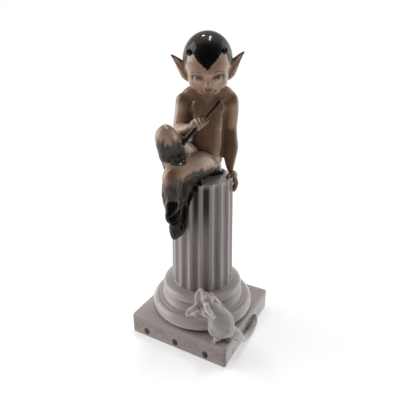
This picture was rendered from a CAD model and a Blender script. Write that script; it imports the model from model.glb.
"""The looks of a glazed porcelain figurine: a boy faun with a flute sits on a fluted column, and a small
lizard rears at the corner of its plinth. The frame is in metres, +Z up; pieces are shaped in millimetres."""

import random
from math import acos, atan2, cos, pi, radians, sin, sqrt

import bmesh
import bpy
import numpy as np
from mathutils import Matrix, Quaternion, Vector, noise
from mathutils.bvhtree import BVHTree


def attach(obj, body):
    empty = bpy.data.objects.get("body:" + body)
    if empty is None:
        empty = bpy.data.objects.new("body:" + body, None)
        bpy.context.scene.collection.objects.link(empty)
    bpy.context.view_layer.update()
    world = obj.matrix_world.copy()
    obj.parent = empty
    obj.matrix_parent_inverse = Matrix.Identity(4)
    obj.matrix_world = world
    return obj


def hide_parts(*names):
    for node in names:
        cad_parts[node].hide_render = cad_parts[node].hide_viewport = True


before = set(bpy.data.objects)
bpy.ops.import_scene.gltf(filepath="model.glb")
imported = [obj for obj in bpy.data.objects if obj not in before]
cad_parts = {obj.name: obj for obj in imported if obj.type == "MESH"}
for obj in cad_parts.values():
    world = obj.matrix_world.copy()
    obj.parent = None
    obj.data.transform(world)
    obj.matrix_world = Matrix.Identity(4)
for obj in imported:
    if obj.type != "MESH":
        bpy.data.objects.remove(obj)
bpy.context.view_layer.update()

METRES = Matrix.Scale(0.001, 4)

# Plinth
PLINTH_SIDE = 79.0
PLINTH_HEIGHT = 17.3
PLINTH_EDGE = 1.6
PLINTH_GRID = 30

# Column base, from the plinth up: lower torus, scotia, upper torus
LOWER_TORUS_RADIUS = 38.4
LOWER_TORUS_HEIGHT = 10.2
SCOTIA_FOOT_RADIUS = 33.0
SCOTIA_RADIUS = 28.4
SCOTIA_HEIGHT = 7.2
UPPER_TORUS_RADIUS = 29.9
UPPER_TORUS_HEIGHT = 6.0
BASE_FILLET = 0.8
BASE_SIDES = 72

# Fluted shaft
SHAFT_HEIGHT = 82.0
SHAFT_FOOT_RADIUS = 23.0
SHAFT_TOP_RADIUS = 21.24
FLUTES = 18
FLUTE_SHARE = 0.74
FLUTE_DEPTH = 1.2
FLUTE_END = 3.0
FLUTE_TURN = radians(-5)
FLUTE_STEPS = 12
RIM_ROUND = 0.7
FLUTE_END_STEPS = 8
SHAFT_STEPS = 24
RIM_STEPS = 5

# Brown colour that ran from the fur into the flutes under it: degrees from the figure's left round to
# its middle, degrees to each side, and millimetres down the shaft
STAIN_TURN = 93
STAIN_REACH = 17
STAIN_LENGTH = 27

# Where the lower torus faces a lamp and would glare: two ends of the spot that the glaze is thin on
THIN_GLAZE_AT = [(3.0, -34.0, 27.4), (7.0, -33.6, 27.4)]

# Figure: its own millimetres, from the middle of the column's top, x to its left, y behind it
FIGURE_FACING = radians(29)
HEAD_AT = (2.7, -7.2, 76.6)
HEAD_BOW = radians(26)
HEAD_TURN = radians(-2)
HEAD_LEAN = radians(2.3)
HEAD_REACH = 27

# Lizard
LIZARD_CORNER_GAP = 7.0
LIZARD_CORNER_SHIFT = 2.8

# Grain of the skins that run overlapping shapes into one, coarse for big forms and fine for carving
ROUGH_GRAIN = 0.7
FINE_GRAIN = 0.34
LIZARD_GRAIN = 0.24
MOST_TRIANGLES = 190000

# Camera
CAMERA_TARGET = (-0.00167, -0.00087, 0.10451)
CAMERA_DISTANCE = 0.29156
CAMERA_AZIMUTH = radians(28.98)
CAMERA_ELEVATION = radians(23.117)
CAMERA_LENS = 36.785


# Shapes


def smooth_line(values, at):
    """The value at a share `at` of the way along a smooth line through the values, numbers or vectors."""
    last = len(values) - 1
    place = min(max(at, 0.0), 1.0) * last
    i = min(int(place), last - 1)
    t = place - i
    b, c = values[i], values[i + 1]
    a = values[i - 1] if i > 0 else b + (b - c)
    d = values[i + 2] if i + 2 <= last else c + (c - b)
    return (b * 2 + (c - a) * t + (a * 2 - b * 5 + c * 4 - d) * t**2 + (b * 3 - a - c * 3 + d) * t**3) * 0.5


def curve(places, steps=10):
    """Points along a smooth line through a few places."""
    vectors = [Vector(p) for p in places]
    return [smooth_line(vectors, i / steps) for i in range(steps + 1)]


def ball(bm, centre, radii, turn=None, sides=28):
    """An ellipsoid."""
    place = Matrix.Translation(centre) @ (turn or Matrix()) @ Matrix.Diagonal((*radii, 1))
    bmesh.ops.create_uvsphere(bm, u_segments=sides, v_segments=sides // 2 + 1, radius=1, matrix=place)


def limb(bm, stations, across=(1, 0, 0), sides=22, rows=30, blunt=3):
    """A ball pulled out along a smooth line. A station is a place, a half width and, where the limb
    isn't round, a half depth. The width lies along `across`; `blunt` squares the ends."""
    places = [Vector(s[0]) for s in stations]
    widths = [s[1] for s in stations]
    depths = [s[2] if len(s) > 2 else s[1] for s in stations]
    shape = bmesh.new()
    bmesh.ops.create_uvsphere(shape, u_segments=sides, v_segments=rows, radius=1)
    step = 0.02
    for vert in shape.verts:
        x, y, z = vert.co
        at = acos(min(max(z, -1.0), 1.0)) / pi
        swell = (1 - abs(2 * at - 1) ** (2 * blunt)) ** 0.5
        angle = atan2(y, x)
        ahead = (smooth_line(places, at + step) - smooth_line(places, at - step)).normalized()
        side = Vector(across)
        side = (side - ahead * side.dot(ahead)).normalized()
        front = ahead.cross(side)
        vert.co = (
            smooth_line(places, at)
            + side * (cos(angle) * swell * smooth_line(widths, at))
            + front * (sin(angle) * swell * smooth_line(depths, at))
        )
    join(bm, shape)


def join(bm, other):
    """Adds another bmesh's shapes, and drops it."""
    part = bpy.data.meshes.new("part")
    other.to_mesh(part)
    other.free()
    bm.from_mesh(part)
    bpy.data.meshes.remove(part)


def lathe(bm, profile, sides):
    """Turns (radius, height) points, whose first and last lie on the axis, about the Z axis."""
    verts = [bm.verts.new((r, 0, z)) for r, z in profile]
    edges = [bm.edges.new(pair) for pair in zip(verts, verts[1:])]
    bmesh.ops.spin(
        bm, geom=verts + edges, cent=(0, 0, 0), axis=(0, 0, 1), angle=2 * pi, steps=sides, use_merge=True
    )
    bmesh.ops.remove_doubles(bm, verts=bm.verts, dist=1e-4)


def half_round(radius, low, high, steps):
    """Points of a torus's outer side, between two heights, bulging to the radius."""
    middle, half = (low + high) / 2, (high - low) / 2
    return [
        (radius - half + half * cos(a), middle + half * sin(a))
        for a in (radians(-90 + 180 * i / steps) for i in range(steps + 1))
    ]


def quarter_hollow(foot, head, steps):
    """Points of a quarter round hollow that starts level at the foot and ends upright at the head."""
    turns = [radians(90 * i / steps) for i in range(steps + 1)]
    return [
        (head[0] + (foot[0] - head[0]) * (1 - sin(a)), foot[1] + (head[1] - foot[1]) * (1 - cos(a)))
        for a in turns
    ]


def mesh_of(bm, name):
    """The bmesh as a mesh, with its faces pointing outwards."""
    bmesh.ops.recalc_face_normals(bm, faces=bm.faces)
    mesh = bpy.data.meshes.new(name)
    bm.to_mesh(mesh)
    bm.free()
    return mesh


def with_modifiers(mesh, modifiers):
    """A copy of the mesh after modifiers, each a name, a type and its settings."""
    helper = bpy.data.objects.new("helper", mesh)
    bpy.context.scene.collection.objects.link(helper)
    for kind, settings in modifiers:
        modifier = helper.modifiers.new(kind.lower(), kind)
        for key, value in settings.items():
            setattr(modifier, key, value)
    changed = bpy.data.meshes.new_from_object(helper.evaluated_get(bpy.context.evaluated_depsgraph_get()))
    bpy.data.objects.remove(helper)
    return changed


def one_skin(bm, grain, rounds):
    """Runs the overlapping shapes of a bmesh into one closed skin."""
    remesh = ("REMESH", {"mode": "VOXEL", "voxel_size": grain})
    smooth = ("SMOOTH", {"factor": 0.5, "iterations": rounds})
    return with_modifiers(mesh_of(bm, "shapes"), [remesh, smooth])


class Clay:
    """A skin whose points are pressed and drawn out by hand before it is fired."""

    def __init__(self, mesh):
        self.mesh = mesh
        count = len(mesh.vertices)
        self.at = np.empty(count * 3)
        mesh.vertices.foreach_get("co", self.at)
        self.at = self.at.reshape(-1, 3)
        self.shift = np.zeros((count, 3))
        self.find_normals()

    def find_normals(self):
        self.out = np.empty(len(self.at) * 3)
        self.mesh.vertex_normals.foreach_get("vector", self.out)
        self.out = self.out.reshape(-1, 3)

    def settle(self):
        """Carries out the presses and ridges made so far."""
        self.at += self.shift
        self.shift[:] = 0
        self.mesh.vertices.foreach_set("co", self.at.ravel())
        self.mesh.update()
        self.find_normals()

    def ridge(self, line, width, height, place=None, facing=None):
        """Raises the skin along a line, or presses it in where the height is below 0. The line lies in
        the frame `place`, and only what faces the way `facing` in that frame moves."""
        turn = np.array((place or Matrix()).to_3x3())
        origin = np.array((place or Matrix()).translation)
        local = (self.at - origin) @ turn
        spots = np.array(curve(line) if len(line) > 2 else line, float)
        near = np.all((local > spots.min(0) - 3 * width) & (local < spots.max(0) + 3 * width), axis=1)
        pull = height * np.exp(-((gap_to(local[near], spots) / width) ** 2))
        if facing:
            pull *= np.clip(self.out[near] @ turn @ np.array(Vector(facing).normalized()) * 2, 0, 1)
        self.shift[near] += self.out[near] * pull[:, None]


def gap_to(points, line):
    """How far each point is from a line through places."""
    gap = np.full(len(points), np.inf)
    if len(line) == 1:
        return np.linalg.norm(points - line[0], axis=1)
    for a, b in zip(line, line[1:]):
        way = b - a
        share = np.clip((points - a) @ way / max(way @ way, 1e-9), 0, 1)
        gap = np.minimum(gap, np.linalg.norm(points - a - share[:, None] * way, axis=1))
    return gap


def blend(value, low, high):
    """0 below low, 1 above high, and smooth between them."""
    share = np.clip((value - low) / (high - low), 0, 1)
    return share * share * (3 - 2 * share)


def dab(points, line, reach, soft):
    """A brush stroke's strength at each point: 1 within its reach of the line, fading over `soft`."""
    return 1 - blend(gap_to(points, np.array(line, float)), reach - soft / 2, reach + soft / 2)


def mirrored(line, side):
    """The line on one side of the head, 1 for its left and -1 for its right."""
    return [(side * x, y, z) for x, y, z in line]


def dab_both(points, line, reach, soft):
    """The same brush stroke on both sides of the head."""
    return sum(dab(points, mirrored(line, side), reach, soft) for side in (-1, 1))


def strokes(points, ground, brushed):
    """A colour's strength at each point: an even ground and brush strokes that add to it or take off."""
    strength = np.full(len(points), float(ground))
    for amount, line, reach, soft in brushed:
        strength += amount * dab(points, line, reach, soft)
    return strength


def cloud(points, scale, seed=0):
    """Smooth noise from -1 to 1 at each point."""
    return np.array([noise.noise(Vector(p) / scale + Vector((seed, 0, 0))) for p in points])


def paint(mesh, name, values):
    """Keeps one underglaze colour's strength at each point. Where a colour isn't painted, it is 0."""
    layer = mesh.attributes.new(name, "FLOAT", "POINT")
    layer.data.foreach_set("value", np.clip(values, 0, 1).astype(np.float32))


def points_of(mesh):
    """The mesh's points as rows of an array."""
    at = np.empty(len(mesh.vertices) * 3)
    mesh.vertices.foreach_get("co", at)
    return at.reshape(-1, 3)


def thinned(mesh):
    """The mesh with no more triangles than a piece may have."""
    count = 2 * len(mesh.polygons)
    if count <= MOST_TRIANGLES:
        return mesh
    return with_modifiers(mesh, [("DECIMATE", {"ratio": MOST_TRIANGLES / count})])


def add_piece(name, mesh, place, finish):
    """A finished piece that stands for the cast solid. Its place is in its mesh."""
    mesh.name = name
    mesh.transform(METRES @ place)
    for face in mesh.polygons:
        face.use_smooth = True
    mesh.materials.clear()
    mesh.materials.append(finish)
    piece = bpy.data.objects.new(name, mesh)
    bpy.context.scene.collection.objects.link(piece)
    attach(piece, "root")
    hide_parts("faun_on_column")


# Finishes


class Value:
    """A node's output, with sums and products as Math nodes."""

    def __init__(self, nodes, socket):
        self.nodes = nodes
        self.socket = socket

    def math(self, operation, *others):
        inputs = {i + 1: v for i, v in enumerate(others)}
        return self.nodes.add("ShaderNodeMath", {"operation": operation}, {0: self, **inputs})

    def __add__(self, other):
        return self.math("ADD", other)

    __radd__ = __add__

    def __mul__(self, other):
        return self.math("MULTIPLY", other)

    def __sub__(self, other):
        return self.math("SUBTRACT", other)

    def __rsub__(self, other):
        return (self * -1).math("ADD", other)

    def __truediv__(self, other):
        return self.math("DIVIDE", other)

    def rise(self, low, high):
        """0 below low, 1 above high, smooth between. With low above high it falls."""
        kind = {"interpolation_type": "SMOOTHSTEP"}
        return self.nodes.add("ShaderNodeMapRange", kind, {"Value": self, "From Min": low, "From Max": high})


class Nodes:
    """The nodes of a material or of the world, made one at a time."""

    def __init__(self, owner):
        self.tree = owner.node_tree

    def add(self, kind, settings=None, inputs=None, output=0):
        node = self.tree.nodes.new(kind)
        for key, value in (settings or {}).items():
            setattr(node, key, value)
        for key, value in (inputs or {}).items():
            if isinstance(value, Value):
                self.tree.links.new(value.socket, node.inputs[key])
            else:
                node.inputs[key].default_value = value
        return Value(self, node.outputs[output])

    def place(self):
        """Object coordinates: metres in the frame."""
        return self.add("ShaderNodeTexCoord", output="Object")

    def parts(self, vector):
        """The x, y and z of a vector."""
        split = self.add("ShaderNodeSeparateXYZ", inputs={0: vector})
        return [Value(self, output) for output in split.socket.node.outputs]

    def noise(self, vector, scale, detail=2.0, rough=0.5):
        fill = {"Vector": vector, "Scale": scale, "Detail": detail, "Roughness": rough}
        return self.add("ShaderNodeTexNoise", inputs=fill)

    def painted(self, name):
        """The strength of an underglaze colour that the piece carries."""
        return self.add("ShaderNodeAttribute", {"attribute_name": name}, output="Fac")

    def mix(self, share, first, second):
        """From the first colour to the second."""
        fill = {0: share, 6: first, 7: second}
        return self.add("ShaderNodeMix", {"data_type": "RGBA"}, fill, output=2)


WHITE = (0.53, 0.47, 0.445, 1)
WHITE_COOL = (0.465, 0.425, 0.41, 1)
WHITE_POOLED = (0.17, 0.142, 0.133, 1)
WHITE_THIN = (0.74, 0.68, 0.64, 1)
GLAZE_STAIN = (0.05, 0.036, 0.03, 1)
SIDE_SHADE = 0.36
RIGHT_SIDE_SHADE = 0.52


def glaze(name, paint_on):
    """Clear glaze over porcelain, thin where it is painted dry. `paint_on` gives the colour under it."""
    material = bpy.data.materials.new(name)
    material.use_nodes = True
    nodes = Nodes(material)
    place = nodes.place()
    shader = material.node_tree.nodes["Principled BSDF"]
    shader.inputs["Coat Roughness"].default_value = 0.035
    shader.inputs["Coat IOR"].default_value = 1.52
    shader.inputs["Specular IOR Level"].default_value = 0.05
    link = material.node_tree.links.new
    link(paint_on(nodes, place).socket, shader.inputs["Base Color"])
    link((1 - nodes.painted("dry")).socket, shader.inputs["Coat Weight"])
    link((0.3 + nodes.noise(place, 240) * 0.16).socket, shader.inputs["Roughness"])
    ripple = nodes.noise(place, 130, 1.0)
    bump = nodes.add("ShaderNodeBump", inputs={"Strength": 0.12, "Distance": 0.0004, "Height": ripple})
    link(bump.socket, shader.inputs["Normal"])
    return material


def white_body(nodes, place):
    """Porcelain under clear glaze: never quite even, warmer and cooler in broad clouds."""
    warm = nodes.noise(place, 26, 3.0).rise(0.35, 0.65)
    fine = nodes.noise(place, 420, 2.0).rise(0.45, 0.8)
    body = nodes.mix(warm, WHITE, WHITE_COOL)
    return nodes.mix(fine * 0.1, body, WHITE_POOLED)


def pooled_body(nodes, place):
    """White, greyer where the glaze has pooled, brown where colour has run, and whiter on thin edges."""
    body = nodes.mix(nodes.painted("pool"), white_body(nodes, place), WHITE_POOLED)
    body = nodes.mix(nodes.painted("stain"), body, GLAZE_STAIN)
    return nodes.mix(nodes.painted("thin"), body, WHITE_THIN)


# Border: on each side of the plinth, blue buds with a rust scroll between them
BUD_PITCH = 0.025
BUD_SHIFT = 0.0013
BUD_HEIGHT = 0.0058
BUD_HALF_WIDTH = 0.0024
BUD_HALF_HEIGHT = 0.0030
SCROLL_HEIGHT = 0.0095
SCROLL_SWING = 0.0026
SCROLL_HALF = 0.0013
BLOOM_HALF_WIDTH = 0.0062
BLOOM_HALF_HEIGHT = 0.0046
BUD_BLUE = (0.013, 0.020, 0.042, 1)
BUD_DARK = (0.008, 0.014, 0.032, 1)
SCROLL_RUST = (0.33, 0.20, 0.145, 1)
BUD_STRENGTH = 0.9


def bordered(nodes, place):
    """The plinth's colour, with its painted border on the four upright sides."""
    x, y, z = nodes.parts(place)
    half = PLINTH_SIDE / 2000
    on_x = x.math("ABSOLUTE").rise(half - 0.0007, half - 0.0001)
    on_y = y.math("ABSOLUTE").rise(half - 0.0007, half - 0.0001)
    along = x * on_y + y * on_x
    wobble = nodes.noise(place, 150, 2.0) - 0.5
    cell = ((along + BUD_SHIFT) / BUD_PITCH + 0.5).math("FLOORED_MODULO", 1.0) - 0.5
    across = cell * BUD_PITCH
    up = z - BUD_HEIGHT + wobble * 0.0012
    bud_x = across / BUD_HALF_WIDTH
    bud_y = up / BUD_HALF_HEIGHT
    bud_gap = (bud_x * bud_x + bud_y * bud_y).math("SQRT")
    bud = bud_gap.rise(1.15, 0.8)
    heart = ((bud_x - 0.25) * (bud_x - 0.25) + (bud_y + 0.3) * (bud_y + 0.3)).rise(0.5, 0.1)
    phase = (along + BUD_SHIFT) * (2 * pi / BUD_PITCH)
    wave = phase.math("SINE") * SCROLL_SWING
    curl = (phase * 2).math("COSINE") * SCROLL_SWING * 0.5
    rise = z - SCROLL_HEIGHT + wobble * 0.002
    first = (rise - wave).math("ABSOLUTE").rise(SCROLL_HALF * 1.8, SCROLL_HALF * 0.5)
    second = (rise + wave - curl).math("ABSOLUTE").rise(SCROLL_HALF * 1.5, SCROLL_HALF * 0.4)
    clear = bud_gap.rise(1.6, 2.3)
    leaves = (phase * 6 + wobble * 9).math("SINE").rise(-0.5, 0.4)
    faded = nodes.noise(place, 330, 2.0).rise(0.34, 0.6)
    scroll = first.math("MAXIMUM", second * leaves) * clear * faded * 0.6
    bloom_x = (cell.math("ABSOLUTE") - 0.5) * (BUD_PITCH / BLOOM_HALF_WIDTH)
    bloom_y = (z - SCROLL_HEIGHT) / BLOOM_HALF_HEIGHT
    bloom = (bloom_x * bloom_x + bloom_y * bloom_y + wobble * 1.6).rise(1.1, 0.3)
    blotch = nodes.noise(place, 420, 3.0, 0.6).rise(0.40, 0.56)
    scroll = scroll.math("MAXIMUM", bloom * blotch * 0.7)
    sides = on_x.math("MAXIMUM", on_y) * z.rise(0.0012, 0.002) * z.rise(0.0165, 0.0155)
    shade = sides * SIDE_SHADE + on_x * x.rise(0, half) * RIGHT_SIDE_SHADE
    body = nodes.mix(shade, white_body(nodes, place), WHITE_POOLED)
    body = nodes.mix(scroll * sides, body, SCROLL_RUST)
    body = nodes.mix(bud * sides * BUD_STRENGTH, body, BUD_BLUE)
    return nodes.mix(heart * bud * sides * BUD_STRENGTH, body, BUD_DARK)


SKIN_LIGHT = (0.53, 0.365, 0.27, 1)
SKIN_BROWN = (0.150, 0.082, 0.046, 1)
FUR_GREY = (0.038, 0.029, 0.025, 1)
FUR_PALE = (0.13, 0.11, 0.097, 1)
SOOT = (0.006, 0.005, 0.0045, 1)
BLUSH = (0.36, 0.16, 0.10, 1)


def faun_colours(nodes, place):
    """Flesh brown fading to light, mottled grey fur and hair, and near black on hair, hooves and locks."""
    mottle = nodes.noise(place, 150, 3.0, 0.6)
    speckle = nodes.noise(place, 700, 3.0, 0.7)
    brown = nodes.painted("brown") + (mottle - 0.5) * 0.35
    skin = nodes.mix(brown.rise(0.0, 1.0), SKIN_LIGHT, SKIN_BROWN)
    skin = nodes.mix(nodes.painted("blush") * 0.6, skin, BLUSH)
    streak = nodes.painted("streak") * 0.75 + speckle * 0.5 - 0.1
    fur = nodes.mix(streak.rise(0.15, 0.85), FUR_GREY, FUR_PALE)
    grown = (nodes.painted("fur") + (speckle - 0.5) * 0.35).rise(0.25, 0.75)
    coat = nodes.mix(grown, skin, fur)
    sooty = (nodes.painted("soot") + (mottle - 0.5) * 0.3).rise(0.2, 0.7)
    return nodes.mix(sooty, coat, SOOT)


FLUTE_DARK = (0.011, 0.007, 0.005, 1)
FLUTE_BROWN = (0.05, 0.028, 0.018, 1)


def flute_colour(nodes, place):
    """Near black brown, mottled a little lighter."""
    grain = nodes.noise(place, 500, 3.0)
    return nodes.mix(grain.rise(0.4, 0.7) * 0.6, FLUTE_DARK, FLUTE_BROWN)


# Column


def wobble(mesh, reach, scale, seed):
    """Moves points a little, as casting and firing do. The underside stays flat."""
    at = points_of(mesh)
    lift = blend(at[:, 2], 0.3, 3.0)
    shift = np.stack([cloud(at, scale, seed + i) for i in range(3)], axis=1) * reach
    mesh.vertices.foreach_set("co", (at + shift * lift[:, None]).ravel())


def make_plinth():
    """A square block with softened edges."""
    bm = bmesh.new()
    size = (PLINTH_SIDE, PLINTH_SIDE, PLINTH_HEIGHT, 1)
    lift = Matrix.Translation((0, 0, PLINTH_HEIGHT / 2))
    bmesh.ops.create_cube(bm, size=1, matrix=lift @ Matrix.Diagonal(size))
    bmesh.ops.bevel(
        bm, geom=bm.edges, offset=PLINTH_EDGE, segments=5, profile=0.5, affect="EDGES", material=-1
    )
    long = [e for e in bm.edges if e.calc_length() > PLINTH_HEIGHT / 2]
    bmesh.ops.subdivide_edges(bm, edges=long, cuts=PLINTH_GRID, use_grid_fill=True)
    mesh = mesh_of(bm, "plinth")
    wobble(mesh, 0.10, 24, 3)
    add_piece("plinth", mesh, Matrix(), glaze("painted_border_glaze", bordered))


def base_levels():
    """Heights where the lower torus, the scotia and the upper torus end."""
    lower = PLINTH_HEIGHT + LOWER_TORUS_HEIGHT
    scotia = lower + SCOTIA_HEIGHT
    upper = scotia + UPPER_TORUS_HEIGHT
    return lower, scotia, upper


def make_base(finish):
    """The mouldings under the shaft, turned in one, with glaze pooled in their creases."""
    lower, scotia, upper = base_levels()
    under = PLINTH_HEIGHT - 1
    upper_foot = UPPER_TORUS_RADIUS - UPPER_TORUS_HEIGHT / 2 + BASE_FILLET
    profile = [(0, under), (LOWER_TORUS_RADIUS - LOWER_TORUS_HEIGHT / 2, under)]
    profile += half_round(LOWER_TORUS_RADIUS, PLINTH_HEIGHT, lower, 18)
    profile += [(SCOTIA_FOOT_RADIUS, lower), (SCOTIA_FOOT_RADIUS, lower + BASE_FILLET)]
    hollow_foot = (SCOTIA_FOOT_RADIUS - BASE_FILLET, lower + BASE_FILLET)
    profile += quarter_hollow(hollow_foot, (SCOTIA_RADIUS, scotia - 2 * BASE_FILLET), 10)
    profile += [(upper_foot, scotia - BASE_FILLET)]
    profile += half_round(UPPER_TORUS_RADIUS, scotia, upper, 14)
    profile += [
        (SHAFT_FOOT_RADIUS + BASE_FILLET, upper + BASE_FILLET),
        (SHAFT_FOOT_RADIUS - FLUTE_DEPTH, upper + 2 * BASE_FILLET),
        (0, upper + 2 * BASE_FILLET),
    ]
    bm = bmesh.new()
    lathe(bm, profile, BASE_SIDES)
    mesh = with_modifiers(mesh_of(bm, "base"), [("SUBSURF", {"levels": 1, "render_levels": 1})])
    wobble(mesh, 0.08, 18, 11)
    at = points_of(mesh)
    radius = np.hypot(at[:, 0], at[:, 1])
    creases = [(LOWER_TORUS_RADIUS - 4, PLINTH_HEIGHT), (SCOTIA_FOOT_RADIUS, lower), (upper_foot, scotia)]
    creases += [(SCOTIA_RADIUS, scotia - 2.5), (SHAFT_FOOT_RADIUS + 1.5, upper)]
    pool = sum(np.exp(-((radius - r) ** 2 + (at[:, 2] - z) ** 2) / 2.2) for r, z in creases)
    paint(mesh, "pool", pool * 0.3)
    paint(mesh, "dry", dab(at, THIN_GLAZE_AT, 4.0, 4.0))
    add_piece("column_base", mesh, Matrix(), finish)


def shaft_foot():
    """The height at which the shaft stands on its base."""
    return base_levels()[2] + BASE_FILLET


def shaft_top():
    """The height of the column's top."""
    return shaft_foot() + SHAFT_HEIGHT


def flute_dip(angle):
    """How deep the flutes are at an angle, from 0 on a rib to 1 in the middle of a flute."""
    across = ((angle - FLUTE_TURN) / (2 * pi / FLUTES)) % 1 - 0.5
    return np.sqrt(np.clip(1 - (2 * across / FLUTE_SHARE) ** 2, 0, 1))


def shaft_levels():
    """From below the foot to the rim: height, share of the flutes' depth, and how far the rim draws in."""
    foot, top = shaft_foot(), shaft_top()
    start = foot + BASE_FILLET
    levels = [(foot - UPPER_TORUS_HEIGHT, 0, 0), (start, 0, 0)]
    for i in range(1, FLUTE_END_STEPS + 1):
        share = i / FLUTE_END_STEPS
        levels.append((start + FLUTE_END * share, sqrt(1 - (1 - share) ** 2), 0))
    straight = top - start - FLUTE_END - RIM_ROUND
    levels += [(start + FLUTE_END + straight * i / SHAFT_STEPS, 1, 0) for i in range(1, SHAFT_STEPS + 1)]
    for i in range(1, RIM_STEPS + 1):
        turn = radians(90 * i / RIM_STEPS)
        levels.append((top - RIM_ROUND * (1 - sin(turn)), 1, RIM_ROUND * (1 - cos(turn))))
    return levels


def make_shaft(finish):
    """A ring that follows the flutes, drawn up level by level from below the foot to the rounded rim."""
    count = FLUTES * FLUTE_STEPS
    bm = bmesh.new()
    bmesh.ops.create_circle(bm, segments=count, radius=1)
    ring = sorted(bm.verts, key=lambda v: atan2(v.co.y, v.co.x) % (2 * pi))
    angles = [FLUTE_TURN + 2 * pi * i / count for i in range(count)]
    dips = [float(flute_dip(a)) for a in angles]
    foot, top = shaft_foot(), shaft_top()
    edges = bm.edges[:]
    for i, (z, depth, inset) in enumerate(shaft_levels()):
        if i:
            made = bmesh.ops.extrude_edge_only(bm, edges=edges)["geom"]
            edges = [g for g in made if isinstance(g, bmesh.types.BMEdge)]
            by_place = {tuple(g.co): g for g in made if isinstance(g, bmesh.types.BMVert)}
            ring = [by_place[tuple(v.co)] for v in ring]
        share = (z - foot) / (top - foot)
        radius = SHAFT_FOOT_RADIUS + (SHAFT_TOP_RADIUS - SHAFT_FOOT_RADIUS) * share - inset
        for vert, angle, dip in zip(ring, angles, dips):
            r = radius - FLUTE_DEPTH * depth * dip
            vert.co = (r * cos(angle), r * sin(angle), z)
    bmesh.ops.holes_fill(bm, edges=bm.edges, sides=count)
    mesh = mesh_of(bm, "shaft")
    wobble(mesh, 0.07, 16, 21)
    at = points_of(mesh)
    dip = flute_dip(np.arctan2(at[:, 1], at[:, 0]))
    fade = 0.75 + 0.25 * cloud(at * (1, 1, 0.3), 7, 5)
    below = shaft_top() - at[:, 2]
    paint(mesh, "pool", (0.3 + 0.7 * blend(dip, 0.35, 1.0) * fade) * blend(below, 0.2, 1.5))
    run = to_frame(at, figure_place())
    beside = np.degrees(np.arctan2(run[:, 1], run[:, 0])) + STAIN_TURN
    stain = blend(STAIN_REACH - np.abs(beside), -2, 5) * blend(STAIN_LENGTH - below, -14, 12)
    paint(mesh, "stain", stain * (0.12 + 0.86 * blend(dip, 0.3, 0.9)) * blend(below, 0.3, 2.0))
    add_piece("fluted_shaft", mesh, Matrix(), finish)


# Figure, upper part: torso, arms, hands and head

BODY_MIDDLE = 3.2


def figure_place():
    """The figure's frame: on the middle of the column's top, turned to the figure's front."""
    return Matrix.Translation((0, 0, shaft_top())) @ Matrix.Rotation(FIGURE_FACING, 4, "Z")


def head_place():
    """The head's frame in the figure's: bowed, and turned and leant a little."""
    spin = Matrix.Rotation(HEAD_TURN, 4, "Z") @ Matrix.Rotation(-HEAD_LEAN, 4, "Y")
    return Matrix.Translation(HEAD_AT) @ spin @ Matrix.Rotation(HEAD_BOW, 4, "X")


def torso(bm):
    """Trunk, shoulders, neck, shoulder blades and breast."""
    spine = [
        ((1, 3.6, -1), 11.4, 9.6),
        ((1.2, 3.2, 8), 11.8, 10.6),
        ((1.6, 0.6, 18), 11.8, 9.4),
        ((2.2, -0.6, 27), 11.3, 8.6),
        ((2.8, 0.8, 38), 11.4, 8.7),
        ((3.3, 2.6, 48), 12.0, 7.8),
        ((3.5, 2.6, 57), 9.0, 6.0),
    ]
    limb(bm, spine, sides=36, rows=48)
    shoulders = [
        ((-14.0, 1.8, 52.2), 5.6),
        ((-5.4, 2.4, 55.2), 5.9),
        ((3.4, 2.8, 56.2), 6.2),
        ((12.4, 3, 55.2), 5.9),
        ((20.4, 3.2, 51.8), 5.5),
    ]
    limb(bm, shoulders, across=(0, 1, 0), blunt=2, rows=40)
    limb(bm, [((3.4, 3, 51), 9.0), ((3.2, 0.8, 60), 6.0), ((2.9, -3, 68), 6.4)])
    for side in (-1, 1):
        ball(bm, (BODY_MIDDLE + side * 6.6, 5.4, 46), (5.6, 4.4, 8.0))
        ball(bm, (BODY_MIDDLE + side * 5.2, -1.6, 46.5), (6.6, 4.2, 6.4))


def bent_arm(bm):
    """The right arm, whose hand holds the flute in front of the chest."""
    upper = [
        ((-12.6, 1.4, 56), 4.6),
        ((-12.6, 1.2, 51), 5.3),
        ((-13.6, 0.6, 43), 4.9),
        ((-15.4, -1.5, 35), 4.6),
        ((-15.8, -2.0, 31), 4.0),
    ]
    limb(bm, upper, blunt=2)
    ball(bm, (-10.2, 1.0, 36.5), (4.2, 4.0, 7.0))
    lower = [
        ((-16.4, -0.6, 33.0), 4.4),
        ((-12.6, -6.2, 32.8), 4.8),
        ((-9.0, -11.6, 35.0), 3.8),
        ((-5.6, -15.2, 38.2), 2.9),
    ]
    limb(bm, lower, across=(0, 0, 1), blunt=2)


def straight_arm(bm):
    """The left arm, which leans on the column's rim."""
    rim = SHAFT_TOP_RADIUS
    line = [
        ((18.8, 3.0, 56.5), 4.8),
        ((18.8, 3.1, 51), 5.5),
        ((18.9, 3.2, 42), 4.9),
        ((18.6, 2.6, 33), 4.4),
        ((18.8, 2.2, 26), 4.7),
        ((19.0, 1.8, 19), 5.2),
        ((18.7, 1.2, 11), 4.2),
        ((rim - 2.2, 0.6, 4.5), 3.0),
        ((rim - 1.4, 0.2, 1.5), 2.8),
    ]
    limb(bm, line, rows=60, blunt=2)


def head_masses(bm):
    """The large forms of a child's head, round its own middle."""
    head = bmesh.new()
    ball(head, (0, 1.2, 0.2), (14.9, 16.4, 15.2), sides=48)
    ball(head, (0, -5.0, -7.0), (12.8, 10.4, 11.4), sides=40)
    ball(head, (0, -9.0, -13.8), (8.0, 6.4, 5.2))
    ball(head, (0, -12.2, -16.2), (3.6, 2.9, 2.5))
    for side in (-1, 1):
        ball(head, (side * 6.4, -8.6, -9.6), (5.6, 5.2, 5.2))
    bmesh.ops.transform(head, matrix=head_place(), verts=head.verts)
    join(bm, head)


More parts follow.
